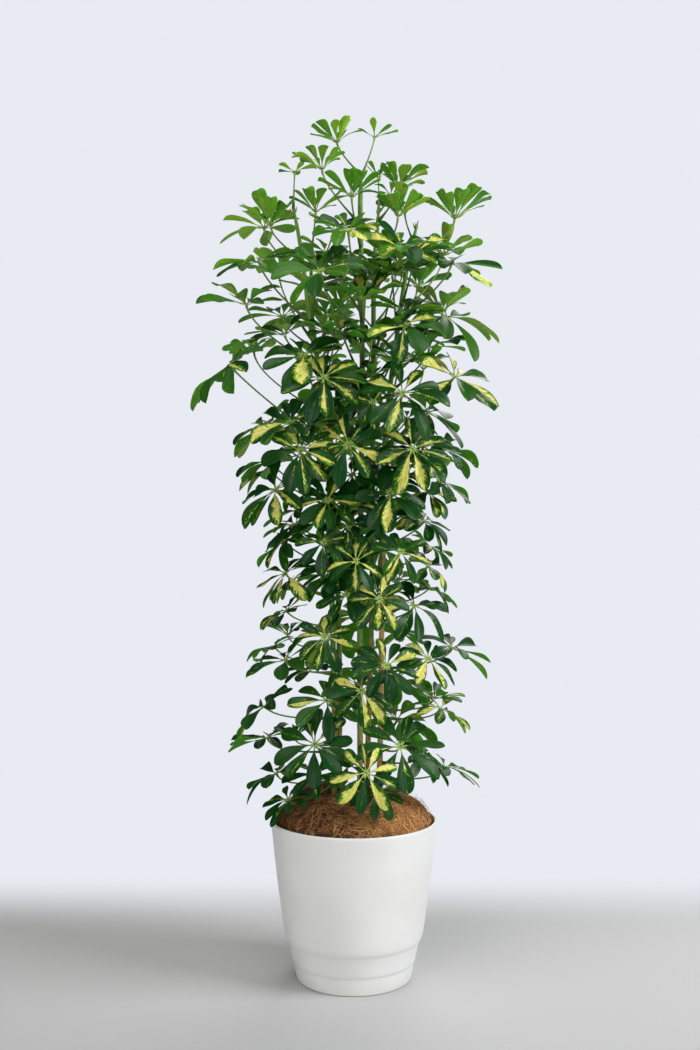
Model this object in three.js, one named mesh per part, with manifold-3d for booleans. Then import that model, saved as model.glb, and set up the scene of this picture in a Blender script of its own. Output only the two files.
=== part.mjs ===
// A potted umbrella plant: a tapered plastic pot of soil under a heap of coir, with five leafy stems.
// Millimetres, +Z up. The origin is the centre of the pot's underside and the front faces -Y.
import * as THREE from 'three';
import { mergeVertices } from 'three/addons/utils/BufferGeometryUtils.js';
import Module from 'manifold-3d';

const wasm = await Module();
wasm.setup();

// Clearance between neighbouring pieces
const GAP = 0.3;

// The pot: its outside from the foot to the rim as [radius, height], and its wall
const POT_SIDES = 28;
const POT_OUTSIDE = [
  [103, 0], [105.5, 3], [109, 24], [110.5, 32], [112.5, 40], [117, 56], [122.5, 73],
  [127, 89], [131.5, 122], [136.8, 160], [142.2, 205], [146.6, 245], [150, 282], [148.5, 286],
];
const POT_WALL = 3.5;
const POT_FLOOR = 6;
const POT_INSIDE_HEIGHTS = [POT_FLOOR, 56, 122, 205, 286];
const DRAIN_HOLES = 5;
const DRAIN_RADIUS = 6;
const DRAIN_CIRCLE = 62;

// Soil and the coir heaped on it: its top as [radius, height] from the wall to the middle
const SOIL_TOP = 262;
const COIR_SIDES = 24;
const COIR_HEAP = [
  [142.5, 270], [140, 278], [133, 292], [124, 303], [108, 314], [84, 323], [50, 330], [0, 334],
];
const COIR_LUMP = 4;
const MOUND = { side: -75, depth: 55, height: 14, radius: 38 };

// The stems: each path as [side, depth, height, radius] from its foot in the soil to its tip
const STEM_SIDES = 6;
const STEMS = {
  left: [
    [-34, 4, 150, 6], [-36, 5, 328, 5.5], [-36, 6, 500, 5.2], [-40, 8, 685, 5], [-44, 6, 865, 4.8],
    [-46, 4, 1030, 4.5], [-78, 2, 1175, 4.2], [-93, 0, 1300, 3.8], [-104, 0, 1367, 3.2], [-112, 0, 1405, 2.2],
  ],
  left_rear: [
    [-22, 26, 150, 5.5], [-26, 30, 328, 5.2], [-27, 34, 600, 5], [-34, 36, 800, 4.8], [-56, 34, 1048, 4.4],
    [-69, 32, 1140, 4.2], [-78, 30, 1220, 3.8], [-78, 26, 1330, 2.6],
  ],
  centre: [
    [9, -12, 150, 6], [11, -15, 328, 5.6], [11, -18, 684, 5.3], [15, -18, 1048, 5], [15, -16, 1176, 4.6],
    [13, -12, 1322, 4.2], [13, -10, 1440, 3.4], [15, -10, 1462, 1.8],
  ],
  right_rear: [
    [22, 16, 150, 5.5], [24, 14, 328, 5.3], [33, 14, 684, 5], [36, 12, 1157, 4.6], [38, 8, 1303, 4.1],
    [44, 5, 1376, 3.4], [46, 4, 1404, 2.2],
  ],
  right: [
    [45, -4, 150, 5.8], [47, -2, 337, 5.5], [53, 0, 756, 5], [58, 0, 993, 4.8], [80, -4, 1176, 4.4],
    [93, -6, 1267, 4], [104, -8, 1322, 3.6], [117, -8, 1373, 2.2],
  ],
};

// The leaves seen from the front, as [side, depth, height, leaflet length, lift, droop] of each hub.
// Lift is how far the leaf's face looks up and droop how far its leaflets hang back from it, in degrees.
const LEAVES = {
  left: [
    [-108, 5, 1464, 45, 85, -22], [-150, -15, 1360, 79, 86, -45], [-169, 70, 1381, 86, 78, -14],
    [-169, -50, 1288, 93, 72, 2], [-195, -15, 1219, 93, 80, -18], [-126, 40, 1209, 84, 80, -10],
    [-88, -110, 1112, 84, 52, -2], [-189, 80, 1149, 62, 80, -28], [-223, -40, 1106, 104, 48, 8],
    [-52, -160, 1067, 78, 34, 4], [-111, -100, 996, 82, 54, -6], [-164, 50, 1006, 84, 62, 6],
    [-92, -140, 944, 74, 32, 8], [-139, -70, 882, 86, 42, 6], [-45, -105, 862, 62, 32, 10],
    [-125, -40, 791, 66, 50, 8], [-52, -105, 789, 60, 34, 8], [-122, -50, 734, 72, 50, 6],
    [-121, -30, 666, 60, 58, 0], [-52, -110, 625, 62, 30, 8], [-123, -40, 578, 80, 66, -4],
    [-47, -90, 513, 74, 46, 2], [-161, -20, 493, 78, 54, 4], [-158, 10, 431, 78, 76, -2],
    [-68, -112, 440, 80, 40, 4], [-139, -35, 374, 72, 68, 2], [-117, -60, 342, 54, 66, 4],
    [-68, -45, 365, 62, 66, 0], [-50, -100, 352, 50, 52, 8], [-106, -20, 435, 52, 80, -30],
    [-121, 20, 618, 56, 84, -30], [-101, 10, 830, 64, 56, 4], [-96, 20, 905, 62, 52, 4],
    [-152, 0, 958, 74, 62, 2],
  ],
  left_rear: [
    [-70, 20, 1396, 70, 84, -40], [-36, -40, 1347, 66, 64, -20], [-53, 100, 1217, 79, 84, -38],
    [-57, 150, 1202, 79, 84, -30], [8, 110, 1091, 62, 64, -8], [-84, 90, 1023, 68, 60, -4],
    [-165, 40, 926, 70, 62, 2], [-113, 35, 719, 56, 60, 4], [-148, 20, 616, 58, 62, 4],
    [-71, 50, 545, 68, 68, -2], [-10, 70, 1180, 72, 70, -15], [-60, 80, 830, 60, 58, 4],
    [-52, 20, 1322, 70, 80, -8],
  ],
  centre: [
    [-30, -20, 1510, 66, 80, -38], [38, 8, 1530, 47, 80, -30], [-60, -30, 1443, 68, 82, -35],
    [-4, -70, 1396, 75, 84, -38], [-10, -130, 1321, 72, 56, -14], [-57, -160, 1245, 93, 50, -4],
    [17, -120, 1205, 81, 70, -32], [5, -50, 1120, 58, 74, -20], [32, -110, 1031, 58, 38, 6],
    [-10, -145, 945, 76, 30, 4], [39, -60, 842, 48, 38, 8], [-10, -95, 819, 56, 34, 10],
    [3, -130, 756, 56, 30, 8], [-14, -90, 698, 62, 34, 8], [12, -130, 535, 68, 28, 8],
    [20, -168, 410, 70, 26, 8], [-20, 60, 1290, 72, 78, -25], [-30, -60, 1060, 60, 56, 0],
    [-4, -50, 900, 60, 46, 6],
  ],
  right_rear: [
    [46, 34, 1463, 52, 84, -48], [67, -6, 1440, 45, 84, -20], [74, -30, 1407, 72, 84, -40],
    [78, -60, 1365, 70, 82, -42], [80, -140, 1291, 77, 56, -12], [91, -115, 1182, 77, 72, -20],
    [123, 120, 1271, 79, 82, -35], [135, 130, 1123, 70, 82, -36], [62, -120, 884, 72, 34, 8],
    [81, -115, 773, 58, 32, 10], [86, 60, 720, 58, 62, 0], [43, -130, 691, 60, 28, 8],
    [84, 75, 620, 58, 62, 0], [55, -125, 577, 68, 32, 6], [40, -105, 356, 54, 50, 10],
    [60, 90, 1330, 75, 80, -30], [100, 60, 1020, 64, 60, 0],
  ],
  right: [
    [95, 40, 1400, 68, 84, -38], [184, 0, 1378, 88, 84, -36], [96, -80, 1306, 90, 66, -8],
    [174, -50, 1294, 95, 72, 4], [171, 90, 1327, 81, 82, -30], [84, -165, 1153, 84, 50, 6],
    [168, 80, 1225, 81, 84, -42], [165, -60, 1189, 102, 64, 8], [81, -170, 1040, 86, 34, 4],
    [175, -90, 1078, 96, 48, 2], [138, 10, 1028, 98, 62, 4], [111, -100, 970, 74, 48, 2],
    [99, -140, 927, 80, 38, 8], [152, -40, 900, 78, 54, 6], [131, -65, 878, 62, 50, 8],
    [120, -50, 839, 66, 54, 8], [140, 0, 780, 56, 60, 4], [132, -40, 746, 58, 54, 6],
    [138, 0, 707, 64, 60, 6], [114, -50, 689, 78, 54, 10], [178, -20, 598, 82, 66, 2],
    [130, -85, 586, 66, 50, 2], [146, 10, 503, 62, 74, -20], [155, -40, 492, 64, 64, 6],
    [80, -115, 437, 86, 40, 4], [165, -15, 383, 70, 70, 2], [160, 30, 972, 80, 62, 4],
    [122, -30, 395, 66, 56, 6],
  ],
};

// The leaves behind and those within, placed by a rule: how many on each stem, the heights and the arc
// that they spread over, and how far they are from the stem low down and in the crown
const BACK = {
  leaves: { left: 4, left_rear: 6, centre: 5, right_rear: 6, right: 4 },
  heights: [400, 1390], arc: [55, 125], reach: [60, 105], crownReach: [115, 170], length: [68, 92],
};
const WITHIN = {
  leaves: { left: 5, left_rear: 4, centre: 6, right_rear: 5, right: 5 },
  heights: [720, 1330], arc: [-165, -15], reach: [50, 85], crownReach: [60, 100], length: [62, 80],
};
const CROWN_HEIGHT = 980;
const RULED_LIFT = [45, 78];
const RULED_DROOP = [8, -30];
const RULED_GROWTH = [700, 1300];

// How much of the way the foremost leaves turn their faces to the front
const FRONT_TURN = 0.3;
const FRONT_HALF = -45;

// One leaf: a thin blade cut into leaflets as far as its hub, on a three-sided stalk. It has this
// share of the leaflets that grow on a real leaf.
const BLADE_THICKNESS = 1.4;
const WIDEST = 0.66;
const HALF_WIDTH = 0.215;
const FOLD = 0.25;
const NOTCH = 0.13;
const INNER_SHORTER = 0.22;
const FALL = 8;
const LEAFLET_SHARE = 0.44;
const STALK_RADII = [1.8, 2, 2.4];
const STALK_BOW = 0.25;
const LOWEST_STALK = 348;

// How steeply the stalks rise from the stem, low down and at the top, and the heights for these
const STALK_RISE = [0.2, 1.2];
const RISE_HEIGHTS = [500, 1400];

// The small moves that are tried, in turn, until a leaf clears the other stems:
// up in millimetres, round its stem in degrees, away from it in millimetres, and lift in degrees
const NUDGES = [
  [0, 0, 0, 0], [9, 0, 0, 0], [-9, 0, 0, 0], [0, 6, 0, 0], [0, -6, 0, 0], [0, 0, 9, 0], [0, 0, -9, 0],
  [0, 0, 0, 10], [0, 0, 0, -8], [12, 7, 0, 0], [12, -7, 0, 0], [-12, 7, 0, 0], [-12, -7, 0, 0],
  [20, 0, 0, 0], [-20, 0, 0, 0], [0, 13, 0, 0], [0, -13, 0, 0], [0, 0, 20, 0], [14, 0, 14, 6],
  [-14, 0, 14, -6], [20, 12, 0, 0], [20, -12, 0, 0], [-20, 12, 0, 0], [-20, -12, 0, 0],
  [10, 20, 8, 0], [10, -20, 8, 0], [30, 0, 10, 8], [-30, 0, 10, -8], [34, 16, 0, 0], [34, -16, 0, 0],
  [0, 0, 34, 0], [24, 24, 16, 0], [24, -24, 16, 0], [45, 0, 20, 10], [50, 20, 10, 12], [50, -20, 10, 12],
];
const SHRINKS = [1, 0.85, 0.7];

const radians = THREE.MathUtils.degToRad;

// Seeded draws between 0 and 1
function makeDraws(seed) {
  let state = (seed * 7919 + 101) % 2147483647;
  return () => {
    state = (state * 16807) % 2147483647;
    return state / 2147483647;
  };
}

function between(range, share) {
  return range[0] + (range[1] - range[0]) * share;
}

// How far a value is through a range, from 0 to 1
function shareWithin(range, value) {
  return THREE.MathUtils.clamp((value - range[0]) / (range[1] - range[0]), 0, 1);
}

// A closed geometry as a solid that can be joined and cut
function toSolid(geometry) {
  const bare = geometry.clone();
  bare.deleteAttribute('normal');
  bare.deleteAttribute('uv');
  const merged = mergeVertices(bare, 1e-4);
  const vertProperties = new Float32Array(merged.attributes.position.array);
  const corners = merged.index.array;
  const triangles = [];
  for (let i = 0; i < corners.length; i += 3) {
    const [a, b, c] = [corners[i], corners[i + 1], corners[i + 2]];
    if (a !== b && b !== c && c !== a) {
      triangles.push(a, b, c);
    }
  }
  const triVerts = new Uint32Array(triangles);
  return new wasm.Manifold(new wasm.Mesh({ numProp: 3, vertProperties, triVerts }));
}

function toGeometry(solid) {
  const mesh = solid.getMesh();
  const geometry = new THREE.BufferGeometry();
  geometry.setAttribute('position', new THREE.BufferAttribute(new Float32Array(mesh.vertProperties), 3));
  geometry.setIndex(new THREE.BufferAttribute(new Uint32Array(mesh.triVerts), 1));
  geometry.computeVertexNormals();
  return geometry;
}

function indexedGeometry(points, triangles) {
  const geometry = new THREE.BufferGeometry();
  const positions = points.flatMap((point) => point.toArray());
  geometry.setAttribute('position', new THREE.Float32BufferAttribute(positions, 3));
  geometry.setIndex(triangles);
  return geometry;
}

// A lathed solid standing on Z, from a profile of [radius, height] that runs up its outside
function latheGeometry(profile, sides) {
  const points = profile.map(([radius, height]) => new THREE.Vector2(radius, height));
  return new THREE.LatheGeometry(points, sides).rotateX(Math.PI / 2);
}

// A closed tube through a list of points, with a radius at each
function tubeGeometry(points, radii, sides) {
  const up = new THREE.Vector3(0.31, -0.27, 0.91).normalize();
  const vertices = [];
  const triangles = [];
  points.forEach((point, i) => {
    const before = points[Math.max(i - 1, 0)];
    const after = points[Math.min(i + 1, points.length - 1)];
    const along = after.clone().sub(before).normalize();
    const across = new THREE.Vector3().crossVectors(up, along);
    if (across.length() < 0.3) {
      across.crossVectors(new THREE.Vector3(1, 0, 0), along);
    }
    across.normalize();
    const third = new THREE.Vector3().crossVectors(along, across);
    for (let k = 0; k < sides; k += 1) {
      const angle = (2 * Math.PI * k) / sides;
      const spoke = across.clone().multiplyScalar(Math.cos(angle)).addScaledVector(third, Math.sin(angle));
      vertices.push(point.clone().addScaledVector(spoke, radii[i]));
    }
  });
  for (let i = 0; i < points.length - 1; i += 1) {
    for (let k = 0; k < sides; k += 1) {
      const a = i * sides + k;
      const b = i * sides + ((k + 1) % sides);
      triangles.push(a, b, b + sides, a, b + sides, a + sides);
    }
  }
  const last = (points.length - 1) * sides;
  for (let k = 1; k < sides - 1; k += 1) {
    triangles.push(0, k + 1, k, last, last + k, last + k + 1);
  }
  return indexedGeometry(vertices, triangles);
}

// The radius of a rising [radius, height] profile at a height
function radiusAt(profile, height) {
  const above = Math.max(profile.findIndex(([, z]) => z >= height), 1);
  const [r0, z0] = profile[above - 1];
  const [r1, z1] = profile[above];
  return r0 + ((r1 - r0) * (height - z0)) / (z1 - z0);
}

// The pot's inner wall, from the floor up to the rim
const POT_INSIDE = POT_INSIDE_HEIGHTS.map((height) => [radiusAt(POT_OUTSIDE, height) - POT_WALL, height]);

function makePot() {
  const profile = [[0, 0], ...POT_OUTSIDE, ...[...POT_INSIDE].reverse(), [0, POT_FLOOR]];
  let pot = toSolid(latheGeometry(profile, POT_SIDES));
  for (let i = 0; i < DRAIN_HOLES; i += 1) {
    const angle = (2 * Math.PI * i) / DRAIN_HOLES;
    const drill = new THREE.CylinderGeometry(DRAIN_RADIUS, DRAIN_RADIUS, 4 * POT_FLOOR, 8);
    drill.rotateX(Math.PI / 2);
    drill.translate(DRAIN_CIRCLE * Math.cos(angle), DRAIN_CIRCLE * Math.sin(angle), 0);
    pot = pot.subtract(toSolid(drill));
  }
  return pot;
}

// The soil fills the pot up to the coir
function makeSoil() {
  const bottom = POT_FLOOR + GAP;
  const heights = [bottom, ...POT_INSIDE_HEIGHTS.filter((z) => z > bottom && z < SOIL_TOP), SOIL_TOP];
  const wall = heights.map((height) => [radiusAt(POT_INSIDE, height) - GAP, height]);
  return toSolid(latheGeometry([[0, bottom], ...wall, [0, SOIL_TOP]], POT_SIDES));
}

// The coir is heaped above the rim, with low lumps on its top and a mound behind
function makeCoir() {
  const bottom = SOIL_TOP + GAP;
  const foot = [radiusAt(POT_INSIDE, bottom) - 2, bottom];
  const heap = latheGeometry([[0, bottom], foot, ...COIR_HEAP], COIR_SIDES);
  const place = heap.attributes.position;
  for (let i = 0; i < place.count; i += 1) {
    const x = place.getX(i);
    const y = place.getY(i);
    if (place.getZ(i) > COIR_HEAP[0][1] + 1) {
      const lump = Math.sin(x / 19 + 1) * Math.cos(y / 23) + 0.6 * Math.sin(x / 41 - y / 29);
      const away = Math.hypot(x - MOUND.side, y - MOUND.depth) / MOUND.radius;
      place.setZ(i, place.getZ(i) + COIR_LUMP * lump + MOUND.height * Math.exp(-away * away));
    }
  }
  return toSolid(heap);
}

// A stem, or the plain hole that it stands in when it is made wider and deeper
function makeStem(path, wider) {
  const points = path.map(([side, depth, height]) => new THREE.Vector3(side, depth, height));
  points[0].z -= wider;
  return toSolid(tubeGeometry(points, path.map((station) => station[3] + 1.2 * wider), STEM_SIDES));
}

// The middle of a stem at a height
function stemPoint(path, height) {
  let above = path.findIndex((station) => station[2] >= height);
  above = above < 0 ? path.length - 1 : Math.max(above, 1);
  const [x0, y0, z0] = path[above - 1];
  const [x1, y1, z1] = path[above];
  const share = Math.min((height - z0) / (z1 - z0), 1);
  return new THREE.Vector3(x0 + (x1 - x0) * share, y0 + (y1 - y0) * share, z0 + (z1 - z0) * share);
}

// Where a leaf sits: its hub, its face, its two directions across and the foot of its stalk
function placeLeaf(path, row, nudge) {
  const [side, depth, height, , lift] = row;
  const [up, round, away, tilt] = nudge;
  const axis = stemPoint(path, height);
  const reach = Math.hypot(side - axis.x, depth - axis.y) + away;
  const heading = Math.atan2(depth - axis.y, side - axis.x) + radians(round);
  const hub = axis.clone().add(new THREE.Vector3(reach * Math.cos(heading), reach * Math.sin(heading), 0));
  hub.z = height + up;
  const toFront = Math.atan2(-Math.cos(heading), -Math.sin(heading));
  const turned = heading + (depth < FRONT_HALF ? FRONT_TURN * toFront : 0);
  const look = radians(lift + tilt);
  const out = new THREE.Vector3(Math.cos(turned), Math.sin(turned), 0);
  const face = out.clone().multiplyScalar(Math.cos(look)).setZ(Math.sin(look));
  const outer = out.clone().multiplyScalar(Math.sin(look)).setZ(-Math.cos(look));
  const sideways = new THREE.Vector3().crossVectors(face, outer);
  const tip = path[path.length - 1][2];
  const rise = between(STALK_RISE, shareWithin(RISE_HEIGHTS, height));
  const footHeight = Math.max(Math.min(hub.z - rise * reach, tip - 8), LOWEST_STALK);
  return { hub, face, outer, sideways, foot: stemPoint(path, footHeight) };
}

// The number of leaflets on a leaf, and the heading and length of each
function spreadLeaflets(draws, length) {
  const grown = 7 + Math.floor(2.5 * draws());
  const count = Math.round(LEAFLET_SHARE * grown);
  const start = (draws() - 0.5) * 0.6;
  return Array.from({ length: count }, (_, i) => {
    const heading = (2 * Math.PI * (i + 0.25 * (draws() - 0.5))) / count + start;
    const inner = (1 - Math.cos(heading)) / 2;
    return { heading, length: length * (1 - INNER_SHORTER * inner) * (0.93 + 0.14 * draws()) };
  });
}

// A point of a leaflet: a share of the way along it and a distance across it
function leafletPoint(leaf, leaflet, along, across) {
  const { hub, face, outer, sideways, droop } = leaf;
  const cos = Math.cos(leaflet.heading);
  const sin = Math.sin(leaflet.heading);
  const out = outer.clone().multiplyScalar(cos).addScaledVector(sideways, sin);
  const beside = outer.clone().multiplyScalar(-sin).addScaledVector(sideways, cos);
  const bend = radians((droop - FALL * out.z) * (0.6 + 0.4 * along));
  const reach = leaflet.length * along;
  return hub.clone()
    .addScaledVector(out, reach * Math.cos(bend))
    .addScaledVector(face, FOLD * Math.abs(across) - reach * Math.sin(bend))
    .addScaledVector(beside, across);
}

// The points of a blade's upper side: its hub, then the notch, widest points and tip of each leaflet
function bladePoints(leaf, leaflets) {
  const count = leaflets.length;
  const slot = Math.tan((0.46 * 2 * Math.PI) / count);
  const leafletPoints = leaflets.flatMap((leaflet, i) => {
    const before = leaflets[(i + count - 1) % count].heading - (i === 0 ? 2 * Math.PI : 0);
    const notch = { heading: (before + leaflet.heading) / 2, length: leaflet.length };
    const middle = leafletPoint(leaf, leaflet, WIDEST, 0).sub(leaf.hub);
    const flat = middle.addScaledVector(leaf.face, -middle.dot(leaf.face)).length();
    const half = Math.min(HALF_WIDTH * leaflet.length, slot * flat);
    return [
      leafletPoint(leaf, notch, NOTCH, 0),
      leafletPoint(leaf, leaflet, WIDEST, -half),
      leafletPoint(leaf, leaflet, 1, 0),
      leafletPoint(leaf, leaflet, WIDEST, half),
    ];
  });
  return [leaf.hub, ...leafletPoints];
}

// The rings of the three-sided stalk, which leaves the stem outwards and meets the blade square on
function stalkRings(leaf) {
  const { hub, face, outer, sideways, foot } = leaf;
  const end = hub.clone().addScaledVector(face, -BLADE_THICKNESS);
  const bow = end.clone().addScaledVector(face, -STALK_BOW * end.distanceTo(foot));
  const curve = new THREE.QuadraticBezierCurve3(end, bow, foot);
  return STALK_RADII.map((radius, i) => {
    const share = i / (STALK_RADII.length - 1);
    const along = curve.getTangent(share).negate();
    const across = outer.clone().addScaledVector(along, -outer.dot(along)).normalize();
    const third = new THREE.Vector3().crossVectors(along, across);
    const middle = curve.getPoint(share);
    return [0, 1, 2].map((k) => {
      const angle = (2 * Math.PI * k) / 3;
      const spoke = across.clone().multiplyScalar(Math.cos(angle)).addScaledVector(third, Math.sin(angle));
      return middle.clone().addScaledVector(spoke, radius);
    });
  });
}

// A whole leaf as one closed body: a thin plate cut into leaflets, with its stalk grown from beneath
function leafGeometry(leaf, leaflets) {
  const count = leaflets.length;
  const top = bladePoints(leaf, leaflets);
  const under = top.slice(1).map((point) => point.clone().addScaledVector(leaf.face, -BLADE_THICKNESS));
  const rings = stalkRings(leaf).flat();
  const shift = top.length - 1;
  const ring = top.length + under.length;
  const faces = [];
  const spokes = [];
  for (let i = 0; i < count; i += 1) {
    const first = 1 + 4 * i;
    const next = 1 + ((4 * (i + 1)) % (4 * count));
    const [left, tip, right] = [first + 1, first + 2, first + 3];
    faces.push(left, tip, right, left + shift, right + shift, tip + shift);
    spokes.push([first, left], [left, right], [right, next]);
    for (const [a, b] of [[first, left], [left, tip], [tip, right], [right, next]]) {
      faces.push(a, a + shift, b + shift, a, b + shift, b);
    }
  }
  const stalkCorner = (i) => {
    const { heading } = leaflets[Math.floor(i / 3) % count];
    return ring + ((Math.round((3 * heading) / (2 * Math.PI)) + 3) % 3);
  };
  spokes.forEach(([a, b], i) => {
    const corner = stalkCorner(i);
    const nextCorner = stalkCorner(i + 1);
    faces.push(0, a, b, corner, b + shift, a + shift);
    if (nextCorner !== corner) {
      faces.push(corner, nextCorner, b + shift);
    }
  });
  const rows = STALK_RADII.length - 1;
  for (let i = 0; i < rows; i += 1) {
    for (let k = 0; k < 3; k += 1) {
      const a = ring + 3 * i + k;
      const b = ring + 3 * i + ((k + 1) % 3);
      faces.push(a, a + 3, b + 3, a, b + 3, b);
    }
  }
  const foot = ring + 3 * rows;
  faces.push(foot, foot + 2, foot + 1);
  return indexedGeometry([...top, ...under, ...rings], faces);
}

function makeLeaf(path, row, seed, nudge, shrink) {
  const leaf = { ...placeLeaf(path, row, nudge), droop: row[5] };
  const leaflets = spreadLeaflets(makeDraws(seed), row[3] * shrink);
  return toSolid(leafGeometry(leaf, leaflets));
}

// Leaves placed by a rule: spread in height, and swung to and fro over an arc
function ruledRows(path, rule, count, seed) {
  const draws = makeDraws(seed);
  return Array.from({ length: count }, (_, i) => {
    const height = between(rule.heights, (i + 0.2 + 0.6 * draws()) / count);
    const swing = radians(between(rule.arc, ((i * 0.62) % 1) * 0.8 + 0.2 * draws()));
    const reach = between(height > CROWN_HEIGHT ? rule.crownReach : rule.reach, draws());
    const axis = stemPoint(path, height);
    const length = between(rule.length, draws());
    const growth = shareWithin(RULED_GROWTH, height);
    const lift = between(RULED_LIFT, growth) + 10 * draws();
    const side = axis.x + reach * Math.cos(swing);
    const depth = axis.y + reach * Math.sin(swing);
    return [side, depth, height, length, lift, between(RULED_DROOP, growth)];
  });
}

function boxesMeet(a, b) {
  return [0, 1, 2].every((k) => a.min[k] < b.max[k] && b.min[k] < a.max[k]);
}

// Whether a solid crosses any of the placed solids that a test picks out
function crosses(solid, placed, test) {
  const box = solid.boundingBox();
  return placed.some((other) => test(other) && boxesMeet(box, other.box)
    && solid.intersect(other.solid).volume() > 0);
}

// The first nudge that clears everything, or else the first that clears all but its own stem, if any
function fitLeaf(name, path, row, seed, placed) {
  let spare = null;
  for (const shrink of SHRINKS) {
    for (const nudge of NUDGES) {
      const solid = makeLeaf(path, row, seed, nudge, shrink);
      if (!crosses(solid, placed, (other) => other.name !== name)) {
        if (!crosses(solid, placed, (other) => other.name === name && other.leaf)) {
          return solid;
        }
        spare = spare || solid;
      }
    }
    if (spare) {
      return spare;
    }
  }
  return null;
}

// All five leafy stems, each leaf fitted clear of the pot, the coir and the other stems. A leaf that
// finds no room is left out.
function makeLeafyStems(pot, coir) {
  const placed = [];
  const keep = (name, solid, leaf) => placed.push({ name, solid, leaf, box: solid.boundingBox() });
  keep('pot', pot, false);
  keep('coir', coir, false);
  const names = Object.keys(STEMS);
  names.forEach((name) => keep(name, makeStem(STEMS[name], 0), false));
  const addLeaves = (rowsOf, firstSeed) => names.forEach((name, s) => {
    rowsOf(name, s).forEach((row, i) => {
      const solid = fitLeaf(name, STEMS[name], row, firstSeed + 100 * s + i, placed);
      if (solid) {
        keep(name, solid, true);
      }
    });
  });
  addLeaves((name) => LEAVES[name], 1);
  addLeaves((name, s) => ruledRows(STEMS[name], BACK, BACK.leaves[name], 900 + s), 600);
  addLeaves((name, s) => ruledRows(STEMS[name], WITHIN, WITHIN.leaves[name], 950 + s), 1200);
  return names.map((name) => {
    const own = placed.filter((other) => other.name === name).map((other) => other.solid);
    return [`leafy_stem_${name}`, own.reduce((whole, piece) => whole.add(piece))];
  });
}

function makeMesh(name, solid, color, roughness) {
  const material = new THREE.MeshStandardMaterial({ color, roughness, metalness: 0, flatShading: true });
  const mesh = new THREE.Mesh(toGeometry(solid), material);
  mesh.name = name;
  return mesh;
}

const holes = Object.values(STEMS).map((path) => makeStem(path, GAP));
const pot = makePot();
const soil = holes.reduce((whole, hole) => whole.subtract(hole), makeSoil());
const coir = holes.reduce((whole, hole) => whole.subtract(hole), makeCoir());

const plant = new THREE.Group();
plant.add(makeMesh('pot', pot, 0xe9e7e2, 0.5));
plant.add(makeMesh('potting_soil', soil, 0x3b2a1e, 0.95));
plant.add(makeMesh('coir_mulch', coir, 0x7a512c, 0.95));
for (const [name, solid] of makeLeafyStems(pot, coir)) {
  plant.add(makeMesh(name, solid, 0x2f5a2c, 0.4));
}

export default plant;
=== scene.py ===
# The looks of a potted umbrella plant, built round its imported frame: leaves, stems, coir and pot.
# Metres, +Z up, the front faces -Y. Sizes below are in millimetres and are turned to metres once.
import math
import random

import bpy
import numpy as np
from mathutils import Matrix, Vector, kdtree


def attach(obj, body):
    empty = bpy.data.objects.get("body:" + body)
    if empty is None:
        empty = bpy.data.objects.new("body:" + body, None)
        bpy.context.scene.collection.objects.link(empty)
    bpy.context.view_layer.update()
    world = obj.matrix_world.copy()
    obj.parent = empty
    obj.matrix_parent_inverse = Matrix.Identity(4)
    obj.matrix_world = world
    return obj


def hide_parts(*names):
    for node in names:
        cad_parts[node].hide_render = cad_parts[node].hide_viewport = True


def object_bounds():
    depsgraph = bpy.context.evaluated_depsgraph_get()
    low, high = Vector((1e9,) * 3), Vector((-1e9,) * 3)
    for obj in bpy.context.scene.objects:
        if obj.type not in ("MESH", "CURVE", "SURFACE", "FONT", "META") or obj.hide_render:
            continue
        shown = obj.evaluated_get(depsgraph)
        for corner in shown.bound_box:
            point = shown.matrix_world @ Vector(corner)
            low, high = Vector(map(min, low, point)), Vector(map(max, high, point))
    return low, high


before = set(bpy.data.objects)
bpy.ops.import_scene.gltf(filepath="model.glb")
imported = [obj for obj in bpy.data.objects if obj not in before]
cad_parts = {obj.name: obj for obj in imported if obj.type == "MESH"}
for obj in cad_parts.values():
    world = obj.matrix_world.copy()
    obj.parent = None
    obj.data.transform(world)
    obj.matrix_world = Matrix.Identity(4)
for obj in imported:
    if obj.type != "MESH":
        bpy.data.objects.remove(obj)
cad_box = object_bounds()

MM = 0.001
SEED = 7
LEAF_SEED = 6000

# The stems: each path as [side, depth, height, radius] from its foot in the soil to its tip
STEMS = {
    "left": [
        [-34, 4, 150, 6], [-36, 5, 328, 5.5], [-36, 6, 500, 5.2], [-40, 8, 685, 5], [-44, 6, 865, 4.8],
        [-46, 4, 1030, 4.5], [-78, 2, 1175, 4.2], [-93, 0, 1300, 3.8], [-104, 0, 1367, 3.2],
        [-112, 0, 1405, 2.2],
    ],
    "left_rear": [
        [-22, 26, 150, 5.5], [-26, 30, 328, 5.2], [-27, 34, 600, 5], [-34, 36, 800, 4.8],
        [-56, 34, 1048, 4.4], [-69, 32, 1140, 4.2], [-78, 30, 1220, 3.8], [-78, 26, 1330, 2.6],
    ],
    "centre": [
        [9, -12, 150, 6], [11, -15, 328, 5.6], [11, -18, 684, 5.3], [15, -18, 1048, 5],
        [15, -16, 1176, 4.6], [13, -12, 1322, 4.2], [13, -10, 1440, 3.4], [15, -10, 1462, 1.8],
    ],
    "right_rear": [
        [22, 16, 150, 5.5], [24, 14, 328, 5.3], [33, 14, 684, 5], [36, 12, 1157, 4.6],
        [38, 8, 1303, 4.1], [44, 5, 1376, 3.4], [46, 4, 1404, 2.2],
    ],
    "right": [
        [45, -4, 150, 5.8], [47, -2, 337, 5.5], [53, 0, 756, 5], [58, 0, 993, 4.8],
        [80, -4, 1176, 4.4], [93, -6, 1267, 4], [104, -8, 1322, 3.6], [117, -8, 1373, 2.2],
    ],
}

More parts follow.
